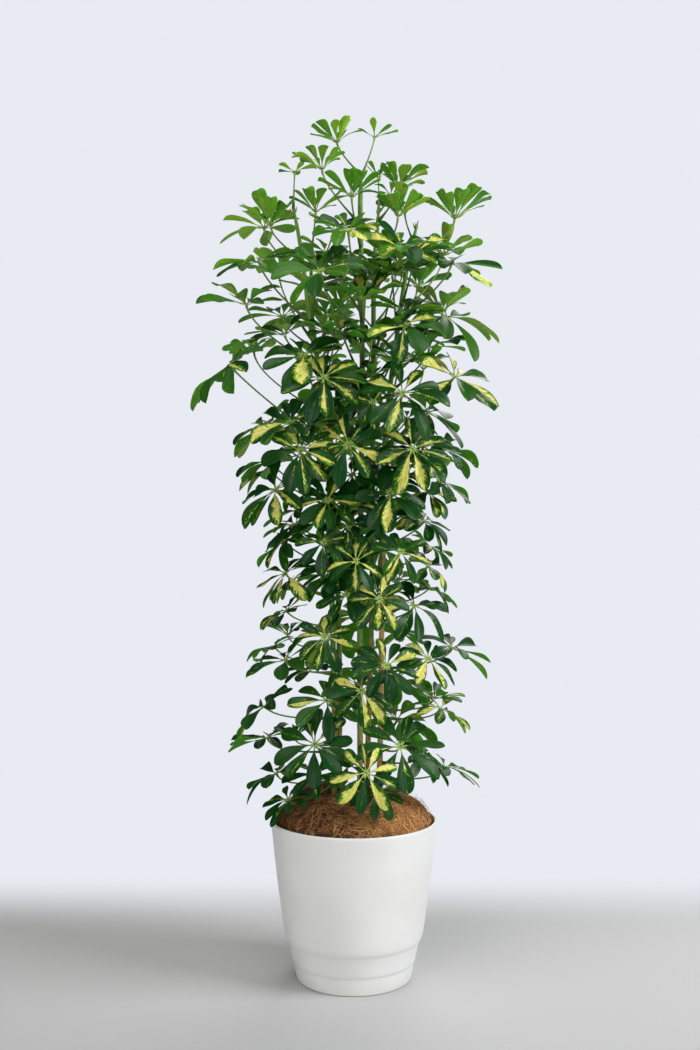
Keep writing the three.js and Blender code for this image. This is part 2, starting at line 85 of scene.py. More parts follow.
# The leaves seen from the front, as [side, depth, height, leaflet length, lift, droop, cream].
# Lift and droop are in degrees, and cream is how much of the leaf is marked with it, from 0 to 1.
LEAVES = {
    "left": [
        [-108, 5, 1464, 45, 85, -22, 0.1], [-150, -15, 1360, 79, 86, -45, 0.1],
        [-169, 70, 1381, 86, 78, -14, 0.1], [-169, -50, 1288, 93, 72, 2, 0.15],
        [-195, -15, 1219, 93, 80, -18, 0.15], [-126, 40, 1209, 84, 80, -10, 0.1],
        [-88, -110, 1112, 84, 52, -2, 0.3], [-189, 80, 1149, 62, 80, -28, 0.1],
        [-223, -40, 1106, 104, 48, 8, 0.3], [-52, -160, 1067, 78, 34, 4, 0.6],
        [-111, -100, 996, 82, 54, -6, 0.4], [-164, 50, 1006, 84, 62, 6, 0.5],
        [-92, -140, 944, 74, 32, 8, 0.55], [-139, -70, 882, 86, 42, 6, 0.55],
        [-45, -105, 862, 62, 32, 10, 0.4], [-125, -40, 791, 66, 50, 8, 0.4],
        [-52, -105, 789, 60, 34, 8, 0.3], [-122, -50, 734, 72, 50, 6, 0.6],
        [-121, -30, 666, 60, 58, 0, 0.4], [-52, -110, 625, 62, 30, 8, 0.6],
        [-123, -40, 578, 80, 66, -4, 0.1], [-47, -90, 513, 74, 46, 2, 0.3],
        [-161, -20, 493, 78, 54, 4, 0.1], [-158, 10, 431, 78, 76, -2, 0.1],
        [-68, -112, 440, 80, 40, 4, 0.3], [-139, -35, 374, 72, 68, 2, 0.1],
        [-117, -60, 342, 54, 66, 4, 0.15], [-68, -45, 365, 62, 66, 0, 0.05],
        [-50, -100, 352, 50, 52, 8, 0.3], [-106, -20, 435, 52, 80, -30, 0.05],
        [-121, 20, 618, 56, 84, -30, 0.15], [-101, 10, 830, 64, 56, 4, 0.3],
        [-96, 20, 905, 62, 52, 4, 0.2], [-152, 0, 958, 74, 62, 2, 0.6],
    ],
    "left_rear": [
        [-70, 20, 1396, 70, 84, -40, 0.1], [-36, -40, 1347, 66, 64, -20, 0.2],
        [-53, 100, 1217, 79, 84, -38, 0.1], [-57, 150, 1202, 79, 84, -30, 0.1],
        [8, 110, 1091, 62, 64, -8, 0.2], [-84, 90, 1023, 68, 60, -4, 0.2],
        [-165, 40, 926, 70, 62, 2, 0.4], [-113, 35, 719, 56, 60, 4, 0.2], [-148, 20, 616, 58, 62, 4, 0.4],
        [-71, 50, 545, 68, 68, -2, 0.1], [-10, 70, 1180, 72, 70, -15, 0.1],
        [-60, 80, 830, 60, 58, 4, 0.2], [-52, 20, 1322, 70, 80, -8, 0.1],
    ],
    "centre": [
        [-30, -20, 1510, 66, 80, -38, 0.05], [38, 8, 1530, 47, 80, -30, 0.05],
        [-60, -30, 1443, 68, 82, -35, 0.1], [-4, -70, 1396, 75, 84, -38, 0.15],
        [-10, -130, 1321, 72, 56, -14, 0.45], [-57, -160, 1245, 93, 50, -4, 0.1],
        [17, -120, 1205, 81, 70, -32, 0.35], [5, -50, 1120, 58, 74, -20, 0.1],
        [32, -110, 1031, 58, 38, 6, 0.2], [-10, -145, 945, 76, 30, 4, 0.7],
        [39, -60, 842, 48, 38, 8, 0.3], [-10, -95, 819, 56, 34, 10, 0.2], [3, -130, 756, 56, 30, 8, 0.7],
        [-14, -90, 698, 62, 34, 8, 0.4], [12, -130, 535, 68, 28, 8, 0.7],
        [20, -168, 410, 70, 26, 8, 0.85], [-20, 60, 1290, 72, 78, -25, 0.1],
        [-30, -60, 1060, 60, 56, 0, 0.2], [-4, -50, 900, 60, 46, 6, 0.2],
    ],
    "right_rear": [
        [46, 34, 1463, 52, 84, -48, 0.05], [67, -6, 1440, 45, 84, -20, 0.05],
        [74, -30, 1407, 72, 84, -40, 0.15], [78, -60, 1365, 70, 82, -42, 0.15],
        [80, -140, 1291, 77, 56, -12, 0.35], [91, -115, 1182, 77, 72, -20, 0.15],
        [123, 120, 1271, 79, 82, -35, 0.1], [135, 130, 1123, 70, 82, -36, 0.15],
        [62, -120, 884, 72, 34, 8, 0.3], [81, -115, 773, 58, 32, 10, 0.5], [86, 60, 720, 58, 62, 0, 0.25],
        [43, -130, 691, 60, 28, 8, 0.7], [84, 75, 620, 58, 62, 0, 0.3], [55, -125, 577, 68, 32, 6, 0.35],
        [40, -105, 356, 54, 50, 10, 0.05], [60, 90, 1330, 75, 80, -30, 0.1],
        [100, 60, 1020, 64, 60, 0, 0.2],
    ],
    "right": [
        [95, 40, 1400, 68, 84, -38, 0.1], [184, 0, 1378, 88, 84, -36, 0.1],
        [96, -80, 1306, 90, 66, -8, 0.4], [174, -50, 1294, 95, 72, 4, 0.1],
        [171, 90, 1327, 81, 82, -30, 0.1], [84, -165, 1153, 84, 50, 6, 0.3],
        [168, 80, 1225, 81, 84, -42, 0.1], [165, -60, 1189, 102, 64, 8, 0.1],
        [81, -170, 1040, 86, 34, 4, 0.6], [175, -90, 1078, 96, 48, 2, 0.7],
        [138, 10, 1028, 98, 62, 4, 0.25], [111, -100, 970, 74, 48, 2, 0.45],
        [99, -140, 927, 80, 38, 8, 0.7], [152, -40, 900, 78, 54, 6, 0.5], [131, -65, 878, 62, 50, 8, 0.4],
        [120, -50, 839, 66, 54, 8, 0.3], [140, 0, 780, 56, 60, 4, 0.4], [132, -40, 746, 58, 54, 6, 0.5],
        [138, 0, 707, 64, 60, 6, 0.3], [114, -50, 689, 78, 54, 10, 0.25], [178, -20, 598, 82, 66, 2, 0.1],
        [130, -85, 586, 66, 50, 2, 0.45], [146, 10, 503, 62, 74, -20, 0.15],
        [155, -40, 492, 64, 64, 6, 0.5], [80, -115, 437, 86, 40, 4, 0.25],
        [165, -15, 383, 70, 70, 2, 0.1], [160, 30, 972, 80, 62, 4, 0.2], [122, -30, 395, 66, 56, 6, 0.15],
    ],
}

# The leaves behind and those within, placed by the same rule and draws as in the frame
BACK = {
    "leaves": {"left": 4, "left_rear": 6, "centre": 5, "right_rear": 6, "right": 4},
    "heights": (400, 1390), "arc": (55, 125), "reach": (60, 105), "crown_reach": (115, 170),
    "length": (68, 92), "draws": 900, "seed": 600,
}
WITHIN = {
    "leaves": {"left": 5, "left_rear": 4, "centre": 6, "right_rear": 5, "right": 5},
    "heights": (720, 1330), "arc": (-165, -15), "reach": (50, 85), "crown_reach": (60, 100),
    "length": (62, 80), "draws": 950, "seed": 1200,
}
CROWN_HEIGHT = 980
RULED_LIFT = (45, 78)
RULED_DROOP = (8, -30)
RULED_GROWTH = (700, 1300)
FIRST_SEED = 1
STEM_SEEDS = 100

# How the frame's leaves are turned, shaped and nudged, each nudge as [up, turn, away, tilt]
FRONT_TURN = 0.3
FRONT_HALF = -45
HALF_WIDTH = (0.174, 0.192)
WIDTH_HEIGHTS = (750, 1150)
FOLD = 0.25
INNER_SHORTER = 0.22
FALL = 8
STALK_RISE = (0.2, 1.2)
RISE_HEIGHTS = (500, 1400)
STALK_BOW = 0.25
LOWEST_STALK = 348
TIP_SPARE = 8
LEAFLET_SHARE = 0.44
LEAFLETS_LEAST = 7
LEAFLETS_MORE = 2.5
START_SPREAD = 0.6
HEADING_SPREAD = 0.25
LENGTH_LEAST = 0.93
LENGTH_MORE = 0.14
NUDGES = [
    [0, 0, 0, 0], [9, 0, 0, 0], [-9, 0, 0, 0], [0, 6, 0, 0], [0, -6, 0, 0], [0, 0, 9, 0], [0, 0, -9, 0],
    [0, 0, 0, 10], [0, 0, 0, -8], [12, 7, 0, 0], [12, -7, 0, 0], [-12, 7, 0, 0], [-12, -7, 0, 0],
    [20, 0, 0, 0], [-20, 0, 0, 0], [0, 13, 0, 0], [0, -13, 0, 0], [0, 0, 20, 0], [14, 0, 14, 6],
    [-14, 0, 14, -6], [20, 12, 0, 0], [20, -12, 0, 0], [-20, 12, 0, 0], [-20, -12, 0, 0],
    [10, 20, 8, 0], [10, -20, 8, 0], [30, 0, 10, 8], [-30, 0, 10, -8], [34, 16, 0, 0], [34, -16, 0, 0],
    [0, 0, 34, 0], [24, 24, 16, 0], [24, -24, 16, 0], [45, 0, 20, 10], [50, 20, 10, 12], [50, -20, 10, 12],
]
SHRINKS = [1, 0.85, 0.7]
MATCH = 0.1 * MM
FOUND_SHARE = 0.5

# The fine leaflet: rows along it, columns across it, its egg shape and its thickness
ROWS = np.array([0, 0.05, 0.11, 0.155, 0.2, 0.27, 0.36, 0.46, 0.56, 0.66, 0.76, 0.85, 0.92, 0.97, 1.0])
COLUMNS = np.array([-1, -0.9, -0.45, 0, 0.45, 0.9, 1])
EGG_FOOT = 1.3
EGG_TIP = 0.52
STALKLET = 0.14
STALKLET_HALF = 1.0
TIP_HALF = 0.3
TIP_ROWS = 0.9
LEAFLET_THICKNESS = 0.5
STALKLET_THICKNESS = 1.6
SIDE_SPARE = 3
SHORTER_STEP = 0.95
FINE_SHARES = {"young": 0.65, "grown": 1.24}
YOUNG_LENGTH = 53
YOUNG_HEIGHT = 1385
YOUNG_WIDTH = 0.8

# How the fine leaflets differ, as ranges to draw from: angles in degrees, the rest in shares
WIDTHS = (0.84, 1.1)
HEADINGS = (-9, 9)
DROOPS = (-12, 14)
TWISTS = (-30, 30)
FOLDS = (0.3, 0.75)
ARCHES = (0.02, 0.09)
HANGS = (-0.1, 0.16)
WAVES = (0, 0.055)
WAVE_TURNS = 7
FAR_SWAYS = (-0.09, 0.09)
NEAR_SWAYS = (-0.04, 0.04)
LEAFLET_LIGHTS = (0.0, 1.3)

# A leaf whose leaflets stand up arches and hangs more, and twists less
RAISED_DROOPS = (0, -40)
RAISED_TWIST = 0.5
RAISED_ARCH = 0.05
RAISED_HANG = 0.12

# The cream of a leaflet: how far it reaches across, and how much further on one side
CREAM_POWERS = (1.25, 0.8)
CREAM_HEIGHTS = (850, 1250)
FLAME_REACHES = (0.0, 0.8)
FLAME_LEANS = (0, 0.5)
FLECK_REACHES = (-0.9, -0.15)
FLECK_LEANS = (-0.3, 0.3)
FLECK_MORE = 0.4
PLAIN = -3.0

# How light a leaf is, from the height where the leaves grow paler up to the crown
LIGHT_HEIGHTS = (1000, 1480)
LIGHT_TOP = 0.68
LIGHT_POWER = 1.4
LIGHT_MORE = 0.2

# The leaf stalks, stems and buds
STALK_RADII = [3.4, 3.0, 2.1, 1.7, 1.55, 1.5, 1.45, 1.45, 1.5, 1.6, 2.0, 2.5]
STALK_SIDES = 8
STALK_FULL_LENGTH = 70
STEM_STEPS = 150
STEM_SIDES = 14
STEM_SHARE = 0.97
STEM_END = [0.9, 0.7, 0.3]
STEM_SCARS = 34
SCAR_RISE = 0.09
SCAR_WIDTH = 0.004
BARK_FROM = 330
BARK_SPAN = 1100
BUD_SCALES = 4
BUD_RADII = [1.9, 1.8, 1.4, 0.9, 0.3]
BUD_SPREADS = (2, 6)
BUD_RISES = (9, 15)

# The direction from which a tube's first ring is turned
ASLANT = np.array([0.31, -0.27, 0.91])

# The pot's outside as [radius, height], with its rounded foot and rim
POT_OUTSIDE = [
    [0, 0], [60, 0], [100, 0], [102.6, 0.3], [104, 1.2], [104.8, 2.6], [105.1, 4], [105.4, 5.5], [106.2, 10],
    [107.6, 17], [108.7, 24], [109.4, 29.5], [110.0, 31.8], [111.6, 33.8], [112.7, 37], [114.1, 45],
    [116.4, 55], [118.6, 64], [120, 69], [121, 71.4], [123, 73.8], [124.9, 79], [126.8, 88], [128.9, 102],
    [131.5, 122], [134.2, 141], [136.8, 160], [139.7, 182], [142.2, 205], [144.5, 225], [146.6, 245],
    [148.3, 262], [149.6, 278], [149.9, 282], [149.6, 284.4], [148.8, 285.7], [147.7, 286],
]
POT_INSIDE = [
    [146.8, 285.6], [146.3, 284.4], [146, 280], [144.8, 262], [138.7, 205], [128, 122],
    [113.3, 56], [102, 6], [60, 6], [0, 6],
]
POT_SIDES = 128
DRAIN_HOLES = 5
DRAIN_RADIUS = 6
DRAIN_CIRCLE = 62
DRILL_HEIGHTS = (-10, 0, 14)
DRILL_SIDES = 24

# The coir heap's top as [radius, height] from the wall to the middle, as in the frame
COIR_HEAP = [
    [142.9, 270], [141.5, 275], [137, 285], [131, 295], [122, 304.5], [108, 314], [84, 323],
    [50, 330], [0, 334],
]
COIR_LUMP = 4
COIR_REACH = 142
MOUND = {"side": -75, "depth": 55, "height": 14, "radius": 38}
BED_SIDES = 96
BED_ROWS = 40
BED_RADIUS = 143.2
BED_FOOT = 263
BED_SUNK = 2.5
BED_ROUGH = 1.4
# The bed's low tint keeps it dark: painted shade in the gaps between the fibres
BED_TINT = 0.1

# The coir's fibres, matted over the heap, and the strays that spring off it
FIBRE_BENDS = (0.6, 4.8)
FIBRE_DEPTHS = (-4.0, 2.0)
FIBRE_SIDES = 3
COIR_FIBRES = 3600
FIBRE_STEPS = 8
FIBRE_RADIUS = 141
FIBRE_OUTWARDS = 0.42
FIBRE_LENGTHS = (18, 66)
FIBRE_LIFT = 8
FIBRE_LIFT_RADIUS = 145
FIBRE_SPREADS = (2, 14)
RING_FIBRES = 112
RING_SWINGS = (-0.7, 0.7)
COIR_STRAYS = 420
STRAY_STEPS = 12
STRAY_REACH = 147
STRAY_RING = (84, 128)
STRAY_LENGTHS = (26, 70)
STRAY_LIFTS = (4, 22)
STRAY_SWINGS = (-1.3, 1.3)
STRAY_RADII = (0.2, 0.34)
STRAY_TINTS = (0.2, 0.7)
MOUND_STRAYS = 4
MOUND_SPREAD = 20

# The camera: the photograph's distance, height and lens
CAMERA_DISTANCE = 2120
CAMERA_HEIGHT = 782
CAMERA_SIDE = -7
FRAME_HEIGHT = 1050
HORIZON = 546
FOCAL_PIXELS = 1163
SENSOR = 36

# The floor: its half width, and where it turns paler towards the back as painted light, fades into the
# backdrop and fades far off
FLOOR_HALF = 9000
FLOOR_DEPTHS = (-650, 250)
FLOOR_FADE = (260, 640)
FLOOR_EDGE = (1100, 1900)

# The light: the surroundings' strength, and lamps as place, aim, size, power and colour, in metres
AMBIENT = 0.095
LAMPS = {
    "key": [(2.95, -1.1, 2.3), (0, 0, 0.7), 1.8, 136, (0.98, 0.99, 1.0)],
    "top": [(-0.5, -0.9, 3.1), (0, 0, 1.0), 1.6, 40, (1.0, 1.0, 0.98)],
    "low": [(-0.9, -2.3, 0.4), (0, 0, 0.6), 1.5, 33, (1.0, 1.0, 0.98)],
    "back": [(0.7, 2.0, 2.5), (0, 0, 0.9), 1.8, 34, (1.0, 1.0, 0.97)],
}


def draws_from(seed):
    """The frame's seeded draws between 0 and 1."""
    state = (seed * 7919 + 101) % 2147483647
    while True:
        state = (state * 16807) % 2147483647
        yield state / 2147483647


def between(pair, share):
    return pair[0] + (pair[1] - pair[0]) * share


def share_within(pair, value):
    return min(max((value - pair[0]) / (pair[1] - pair[0]), 0), 1)


def stem_point(path, height):
    """The middle of a stem at a height."""
    above = next((i for i, station in enumerate(path) if station[2] >= height), len(path) - 1)
    above = max(above, 1)
    low, high = np.array(path[above - 1][:3], float), np.array(path[above][:3], float)
    share = min((height - low[2]) / (high[2] - low[2]), 1)
    return low + (high - low) * share


def place_leaf(path, row, nudge):
    """Where a leaf sits: its hub, its face, its two directions across and the foot of its stalk."""
    side, depth, height, length, lift, droop = row[:6]
    up, turn, away, tilt = nudge
    axis = stem_point(path, height)
    reach = math.hypot(side - axis[0], depth - axis[1]) + away
    heading = math.atan2(depth - axis[1], side - axis[0]) + math.radians(turn)
    hub = np.array([axis[0] + reach * math.cos(heading), axis[1] + reach * math.sin(heading), height + up])
    to_front = math.atan2(-math.cos(heading), -math.sin(heading))
    turned = heading + (FRONT_TURN * to_front if depth < FRONT_HALF else 0)
    look = math.radians(lift + tilt)
    out = np.array([math.cos(turned), math.sin(turned), 0])
    face = out * math.cos(look) + np.array([0, 0, math.sin(look)])
    outer = out * math.sin(look) - np.array([0, 0, math.cos(look)])
    tip = path[-1][2]
    rise = between(STALK_RISE, share_within(RISE_HEIGHTS, height))
    foot_height = max(min(hub[2] - rise * reach, tip - TIP_SPARE), LOWEST_STALK)
    return {
        "hub": hub, "face": face, "outer": outer, "sideways": np.cross(face, outer),
        "foot": stem_point(path, foot_height), "droop": droop, "length": length,
    }


def spread_leaflets(seed, length, share):
    """The heading and length of each leaflet, for a share of seven to nine leaflets."""
    draws = draws_from(seed)
    grown = LEAFLETS_LEAST + math.floor(LEAFLETS_MORE * next(draws))
    count = math.floor(share * grown + 0.5)
    start = (next(draws) - 0.5) * START_SPREAD
    leaflets = []
    for i in range(count):
        heading = 2 * math.pi * (i + HEADING_SPREAD * (next(draws) - 0.5)) / count + start
        inner = (1 - math.cos(heading)) / 2
        varied = LENGTH_LEAST + LENGTH_MORE * next(draws)
        leaflets.append((heading, length * (1 - INNER_SHORTER * inner) * varied))
    return leaflets


def directions(leaf, heading):
    """The directions along a leaflet and across it, in the plane of its leaf."""
    out = leaf["outer"] * math.cos(heading) + leaf["sideways"] * math.sin(heading)
    beside = leaf["sideways"] * math.cos(heading) - leaf["outer"] * math.sin(heading)
    return out, beside


def leaflet_points(leaf, heading, length, along, across):
    """Points of a leaflet, from shares of the way along it and distances across it."""
    out, beside = directions(leaf, heading)
    bend = np.radians((leaf["droop"] - FALL * out[2]) * (0.6 + 0.4 * along))
    reach = length * along
    return (
        leaf["hub"]
        + np.multiply.outer(reach * np.cos(bend), out)
        + np.multiply.outer(FOLD * np.abs(across) - reach * np.sin(bend), leaf["face"])
        + np.multiply.outer(across, beside)
    )


def leaflet_tip(leaf, heading, length):
    return leaflet_points(leaf, heading, length, 1.0, 0.0)


def ruled_rows(path, rule, count, seed):
    """Leaves placed by a rule: spread in height, and swung to and fro over an arc."""
    draws = draws_from(seed)
    rows = []
    for i in range(count):
        height = between(rule["heights"], (i + 0.2 + 0.6 * next(draws)) / count)
        swing = math.radians(between(rule["arc"], (i * 0.62 % 1) * 0.8 + 0.2 * next(draws)))
        reach = between(rule["crown_reach" if height > CROWN_HEIGHT else "reach"], next(draws))
        axis = stem_point(path, height)
        length = between(rule["length"], next(draws))
        growth = share_within(RULED_GROWTH, height)
        lift = between(RULED_LIFT, growth) + 10 * next(draws)
        side = axis[0] + reach * math.cos(swing)
        depth = axis[1] + reach * math.sin(swing)
        cream = (0.15 + 0.7 * (i * 0.37 % 1)) * (1 - 0.8 * growth)
        rows.append([side, depth, height, length, lift, between(RULED_DROOP, growth), cream])
    return rows


def frame_tree(node):
    """The frame's vertices of a node, for looking up the nearest one."""
    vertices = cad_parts[node].data.vertices
    tree = kdtree.KDTree(len(vertices))
    for i, vertex in enumerate(vertices):
        tree.insert(vertex.co, i)
    tree.balance()
    return tree


def find_leaf(path, row, seed, tree):
    """The leaf as the frame has it: the nudge whose leaflet tips are among the frame's vertices."""
    best, best_share = None, -1
    for shrink in SHRINKS:
        leaflets = spread_leaflets(seed, row[3] * shrink, LEAFLET_SHARE)
        for nudge in NUDGES:
            leaf = place_leaf(path, row, nudge)
            tips = [leaflet_tip(leaf, heading, length) for heading, length in leaflets]
            found = sum(tree.find(Vector(tip * MM))[2] < MATCH for tip in tips)
            if found / len(tips) > best_share:
                best, best_share = dict(leaf, length=row[3] * shrink), found / len(tips)
            if found == len(tips):
                return best, 1.0
    return best, best_share


def stem_leaves(name, index):
    """Every leaf of a stem, where the frame has it."""
    path = STEMS[name]
    tree = frame_tree(f"leafy_stem_{name}")
    groups = [(LEAVES[name], FIRST_SEED + STEM_SEEDS * index)]
    for rule in (BACK, WITHIN):
        rows = ruled_rows(path, rule, rule["leaves"][name], rule["draws"] + index)
        groups.append((rows, rule["seed"] + STEM_SEEDS * index))
    leaves = []
    for rows, first in groups:
        for i, row in enumerate(rows):
            leaf, share = find_leaf(path, row, first + i, tree)
            if share < FOUND_SHARE:
                print(f"leaf {i} of {name} after seed {first} isn't in the frame")
                continue
            leaf.update(seed=first + i, cream=row[6])
            leaves.append(leaf)
    return leaves


class MeshParts:
    """Gathers points, faces and point attributes, and makes one mesh object of them."""

    def __init__(self):
        self.points = []
        self.faces = []
        self.attributes = {}
        self.under = []
        self.count = 0

    def add(self, points, faces, under=None, **attributes):
        self.points.append(np.asarray(points, float))
        self.faces.extend(tuple(corner + self.count for corner in face) for face in faces)
        self.under.extend(under if under is not None else [0] * len(faces))
        for name, values in attributes.items():
            self.attributes.setdefault(name, []).append(np.asarray(values, float))
        self.count += len(points)

    def build(self, name, material):
        mesh = bpy.data.meshes.new(name)
        points = np.concatenate(self.points) * MM
        mesh.from_pydata(points.tolist(), [], self.faces)
        for key, values in self.attributes.items():
            data = mesh.attributes.new(key, "FLOAT_VECTOR", "POINT")
            data.data.foreach_set("vector", np.concatenate(values).ravel())
        if any(self.under):
            under = mesh.attributes.new("under", "FLOAT", "FACE")
            under.data.foreach_set("value", self.under)
        mesh.shade_smooth()
        mesh.materials.append(material)
        piece = bpy.data.objects.new(name, mesh)
        bpy.context.scene.collection.objects.link(piece)
        return piece


def leaflet_faces():
    """Faces of a leaflet, a thin closed shell whose two sides share their rim, and which lie beneath."""
    rows, columns = len(ROWS), len(COLUMNS)

    def top(i, j):
        return i * columns + j

    def below(i, j):
        if i in (0, rows - 1) or j in (0, columns - 1):
            return top(i, j)
        return rows * columns + (i - 1) * (columns - 2) + j - 1

    faces, under = [], []
    for i in range(rows - 1):
        for j in range(columns - 1):
            faces.append((top(i, j), top(i, j + 1), top(i + 1, j + 1), top(i + 1, j)))
            faces.append((below(i, j), below(i + 1, j), below(i + 1, j + 1), below(i, j + 1)))
            under += [0, 1]
    return faces, under


LEAFLET_FACES, LEAFLET_UNDER = leaflet_faces()


def half_widths(length, width):
    """The half width of a leaflet in each row: a thin stalklet, then an egg shape, broad end outwards."""
    blade = np.clip((ROWS - STALKLET) / (1 - STALKLET), 0, 1)
    egg = blade ** EGG_FOOT * (1 - blade) ** EGG_TIP
    peak = EGG_FOOT / (EGG_FOOT + EGG_TIP)
    egg /= peak ** EGG_FOOT * (1 - peak) ** EGG_TIP
    return np.maximum(width * length * egg, np.where(ROWS < TIP_ROWS, STALKLET_HALF, TIP_HALF))


def kept_within(leaf, heading, length):
    """A leaflet's length, shortened where its tip would pass the sides of the frame's box."""
    low, high = (np.array(corner[:2]) / MM for corner in cad_box)
    tip = leaflet_tip(leaf, heading, length)[:2]
    while np.any(tip < low - SIDE_SPARE) or np.any(tip > high + SIDE_SPARE):
        length *= SHORTER_STEP
        tip = leaflet_tip(leaf, heading, length)[:2]
    return length


def cream_of(leaf, draw):
    """How far the cream reaches across a leaflet, and how much further on one side of its midrib."""
    if leaf["length"] < YOUNG_LENGTH:
        return PLAIN, 0.0
    power = between(CREAM_POWERS, share_within(CREAM_HEIGHTS, leaf["hub"][2]))
    if draw.random() < leaf["cream"] ** power:
        return draw.uniform(*FLAME_REACHES), draw.choice((-1, 1)) * draw.uniform(*FLAME_LEANS)
    return draw.uniform(*FLECK_REACHES) + FLECK_MORE * leaf["cream"], draw.uniform(*FLECK_LEANS)


def leaflet_surface(leaf, heading, length, draw):
    """The upper side of a fine leaflet: folded at its midrib, arched, and a little twisted and waved."""
    broad = between(HALF_WIDTH, share_within(WIDTH_HEIGHTS, leaf["hub"][2]))
    width = broad * draw.uniform(*WIDTHS) * (YOUNG_WIDTH if leaf["young"] else 1)
    half = half_widths(length, width)[:, None]
    along = ROWS[:, None]
    across = half * COLUMNS
    share = np.abs(COLUMNS)
    heading = heading + math.radians(draw.uniform(*HEADINGS))
    leaf = dict(leaf, droop=leaf["droop"] + draw.uniform(*DROOPS))
    out, beside = directions(leaf, heading)
    raised = share_within(RAISED_DROOPS, leaf["droop"])
    twist = math.radians(draw.uniform(*TWISTS) * (1 - RAISED_TWIST * raised)) * (0.35 + 0.65 * along)
    fold = draw.uniform(*FOLDS)
    rise = across * np.sin(twist) - FOLD * np.abs(across) + half * (fold * share - 0.2 * share ** 2)
    rise = rise + (draw.uniform(*ARCHES) + RAISED_ARCH * raised) * length * 4 * along * (1 - along)
    rise = rise - (draw.uniform(*HANGS) + RAISED_HANG * raised) * length * along ** 2
    wave = draw.uniform(*WAVES) * length
    ripple = np.sin(WAVE_TURNS * along + draw.uniform(0, 6.28))
    rise = rise + wave * share ** 2 * ripple * half / half.max()
    sway = draw.uniform(*FAR_SWAYS) * length * along ** 2 + draw.uniform(*NEAR_SWAYS) * length * along
    points = leaflet_points(leaf, heading, length, along + 0 * across, across * np.cos(twist))
    points = points + rise[..., None] * leaf["face"] + sway[..., None] * beside
    points[0] = leaf["hub"] + 0.6 * (points[0] - leaf["hub"]) + out * 1.2
    return points


def both_sides(upper, lower):
    """The rows of a leaflet's upper and lower side, as one list."""
    return np.concatenate([upper.reshape(-1, 3), lower.reshape(-1, 3)])


def add_leaflet(parts, leaf, heading, length, draw):
    """One fine leaflet of a leaf: a thin closed shell, with the marks that its material reads."""
    points = leaflet_surface(leaf, heading, length, draw)
    normal = np.cross(np.gradient(points, axis=0), np.gradient(points, axis=1))
    normal /= np.linalg.norm(normal, axis=2, keepdims=True) + 1e-9
    thick = np.where(ROWS < STALKLET, STALKLET_THICKNESS, LEAFLET_THICKNESS)[:, None, None]
    shell = both_sides(points, (points - normal * thick)[1:-1, 1:-1])
    reach, lean = cream_of(leaf, draw)
    along, across = np.meshgrid(ROWS, COLUMNS, indexing="ij")
    place = np.stack([along, across, np.full_like(along, lean)], axis=2)
    tone = (reach, leaf["light"] * draw.uniform(*LEAFLET_LIGHTS), draw.random())
    parts.add(
        shell, LEAFLET_FACES, LEAFLET_UNDER,
        leaflet=both_sides(place, place[1:-1, 1:-1]), tone=np.tile(tone, (len(shell), 1)),
    )


def tube(points, radii, sides):
    """A closed tube through points, with a radius at each."""
    points = np.asarray(points, float)
    slope = np.gradient(points, axis=0)
    slope /= np.linalg.norm(slope, axis=1, keepdims=True)
    across = np.cross(ASLANT, slope[0])
    if np.linalg.norm(across) < 0.3:
        across = np.cross(np.array([1.0, 0, 0]), slope[0])
    rings = []
    angles = np.arange(sides) * 2 * math.pi / sides
    for point, along, radius in zip(points, slope, radii):
        across = across - along * across.dot(along)
        across /= np.linalg.norm(across)
        third = np.cross(along, across)
        rings.append(point + radius * (np.outer(np.cos(angles), across) + np.outer(np.sin(angles), third)))
    faces = []
    for i in range(len(points) - 1):
        for k in range(sides):
            a, b = i * sides + k, i * sides + (k + 1) % sides
            faces.append((a, b, b + sides, a + sides))
    last = (len(points) - 1) * sides
    faces.append(tuple(range(sides - 1, -1, -1)))
    faces.append(tuple(last + k for k in range(sides)))
    return np.concatenate(rings), faces


def bezier(start, middle, end, count):
    """Points along a curve that leaves towards its middle point and arrives from it."""
    share = np.linspace(0, 1, count)[:, None]
    return (1 - share) ** 2 * start + 2 * share * (1 - share) * middle + share ** 2 * end


def add_stalk(parts, leaf):
    """A leaf's stalk, swollen where it leaves the stem and where its leaflets join it."""
    count = len(STALK_RADII)
    end = leaf["hub"] - leaf["face"]
    bow = end - leaf["face"] * STALK_BOW * np.linalg.norm(end - leaf["foot"])
    radii = np.array(STALK_RADII) * (0.7 + 0.3 * min(leaf["length"] / STALK_FULL_LENGTH, 1.2))
    shape, faces = tube(bezier(leaf["foot"], bow, end, count), radii, STALK_SIDES)
    share = np.repeat(np.linspace(0, 1, count), STALK_SIDES)
    parts.add(shape, faces, bark=np.stack([share * 0, share, share * 0 + leaf["light"]], axis=1))


def smooth_path(path, count):
    """A stem's path, rounded through its stations."""
    stations = np.array(path, float)
    heights = stations[:, 2]
    slopes = np.gradient(stations, heights, axis=0)
    result = []
    for height in np.linspace(heights[0], heights[-1], count):
        i = min(max(int(np.searchsorted(heights, height)) - 1, 0), len(heights) - 2)
        step = heights[i + 1] - heights[i]
        t = (height - heights[i]) / step
        result.append(
            (2 * t ** 3 - 3 * t ** 2 + 1) * stations[i] + (t ** 3 - 2 * t ** 2 + t) * step * slopes[i]
            + (3 * t ** 2 - 2 * t ** 3) * stations[i + 1] + (t ** 3 - t ** 2) * step * slopes[i + 1]
        )
    return np.array(result)


